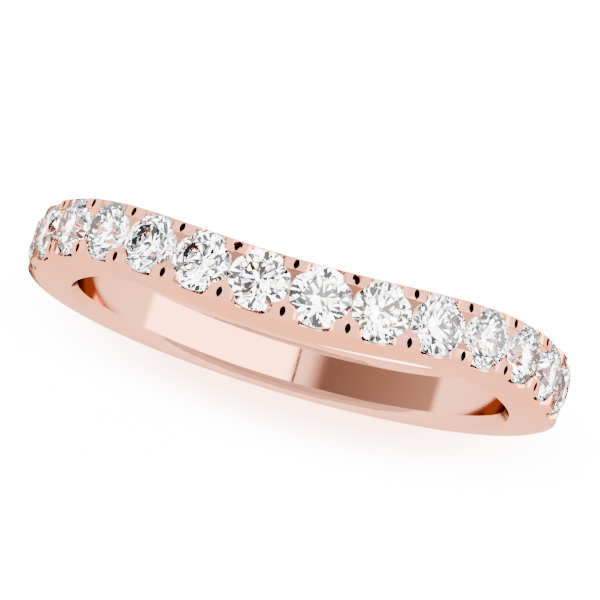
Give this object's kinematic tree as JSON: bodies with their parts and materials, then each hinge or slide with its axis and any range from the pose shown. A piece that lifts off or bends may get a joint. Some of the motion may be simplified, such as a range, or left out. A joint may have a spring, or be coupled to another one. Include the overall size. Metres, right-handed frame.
{
  "type": "wedding band",
  "caption": "Contoured wedding band with a row of round brilliant stones held by split prongs over U-shaped cuts, worn on a finger.",
  "frame": {"origin": "centre of the finger bore, in the plane of the shank", "axes": "+Y along the finger axis, +Z from the bore's centre to the middle of the stone row, +X to the right when the row is uppermost and -Y faces the viewer"},
  "size_m": [0.0216, 0.0036, 0.0209],
  "materials": {
    "rose_gold": "mirror-polished 14 carat rose gold",
    "diamond": "polished colourless diamond, sharp facets"
  },
  "bodies": {
    "root": {"band": "rose_gold", "diamond_01": "diamond", "diamond_02": "diamond", "diamond_03": "diamond", "diamond_04": "diamond", "diamond_05": "diamond", "diamond_06": "diamond", "diamond_07": "diamond", "diamond_08": "diamond", "diamond_09": "diamond", "diamond_10": "diamond", "diamond_11": "diamond", "diamond_12": "diamond", "diamond_13": "diamond", "diamond_14": "diamond"}
  },
  "joints": []
}
